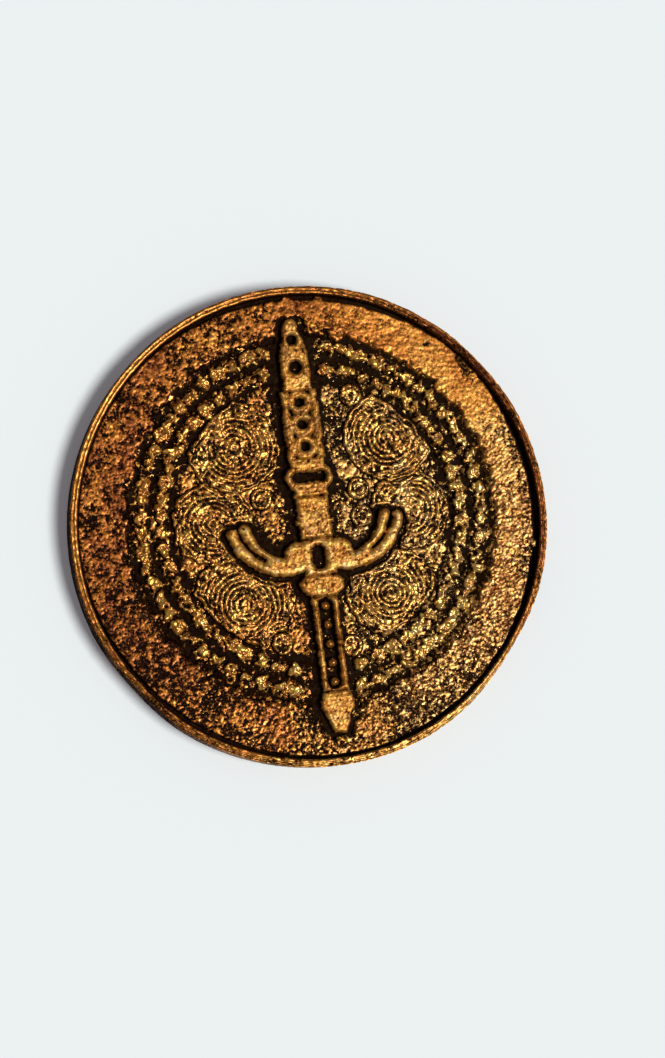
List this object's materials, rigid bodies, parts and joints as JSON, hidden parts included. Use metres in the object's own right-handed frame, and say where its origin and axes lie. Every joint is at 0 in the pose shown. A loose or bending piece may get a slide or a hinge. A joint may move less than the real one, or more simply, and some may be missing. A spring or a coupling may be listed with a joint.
{
  "type": "transit token",
  "caption": "Round coin-like fare token with a raised rim, rings of rough marks, rippled panels and an upright sword in low relief on a flat disc.",
  "frame": {"origin": "centre of the flat reverse, which rests on a surface", "axes": "+Z up out of the face, through the thickness; +Y up in the design; +X to the design's right"},
  "size_m": [0.04, 0.04, 0.003],
  "materials": {
    "sunk_black": "bronze-coloured print blackened in its hollows",
    "rim_bronze": "metallic bronze print, worn bright along its top",
    "field_bronze": "mottled metallic bronze with black rubbed into the grain",
    "mark_gold": "rough metallic gold",
    "ripple_bronze": "ridged metallic bronze, black between the ridges",
    "sword_gold": "smooth metallic gold"
  },
  "bodies": {
    "root": {"blank": "sunk_black", "rim": "rim_bronze", "border_band": "field_bronze", "outer_mark_ring": "mark_gold", "inner_mark_ring": "mark_gold", "left_ripple_upper": "ripple_bronze", "left_ripple_middle": "ripple_bronze", "left_ripple_lower": "ripple_bronze", "right_ripple_upper": "ripple_bronze", "right_ripple_middle": "ripple_bronze", "right_ripple_lower": "ripple_bronze", "ripple_roundels": "ripple_bronze", "blade_point": "sword_gold", "blade_openwork": "sword_gold", "blade_collar": "sword_gold", "blade_base": "sword_gold", "crossguard": "sword_gold", "grip_collar": "sword_gold", "grip_frame": "sword_gold", "grip_beads": "mark_gold", "pommel": "sword_gold"}
  },
  "joints": []
}
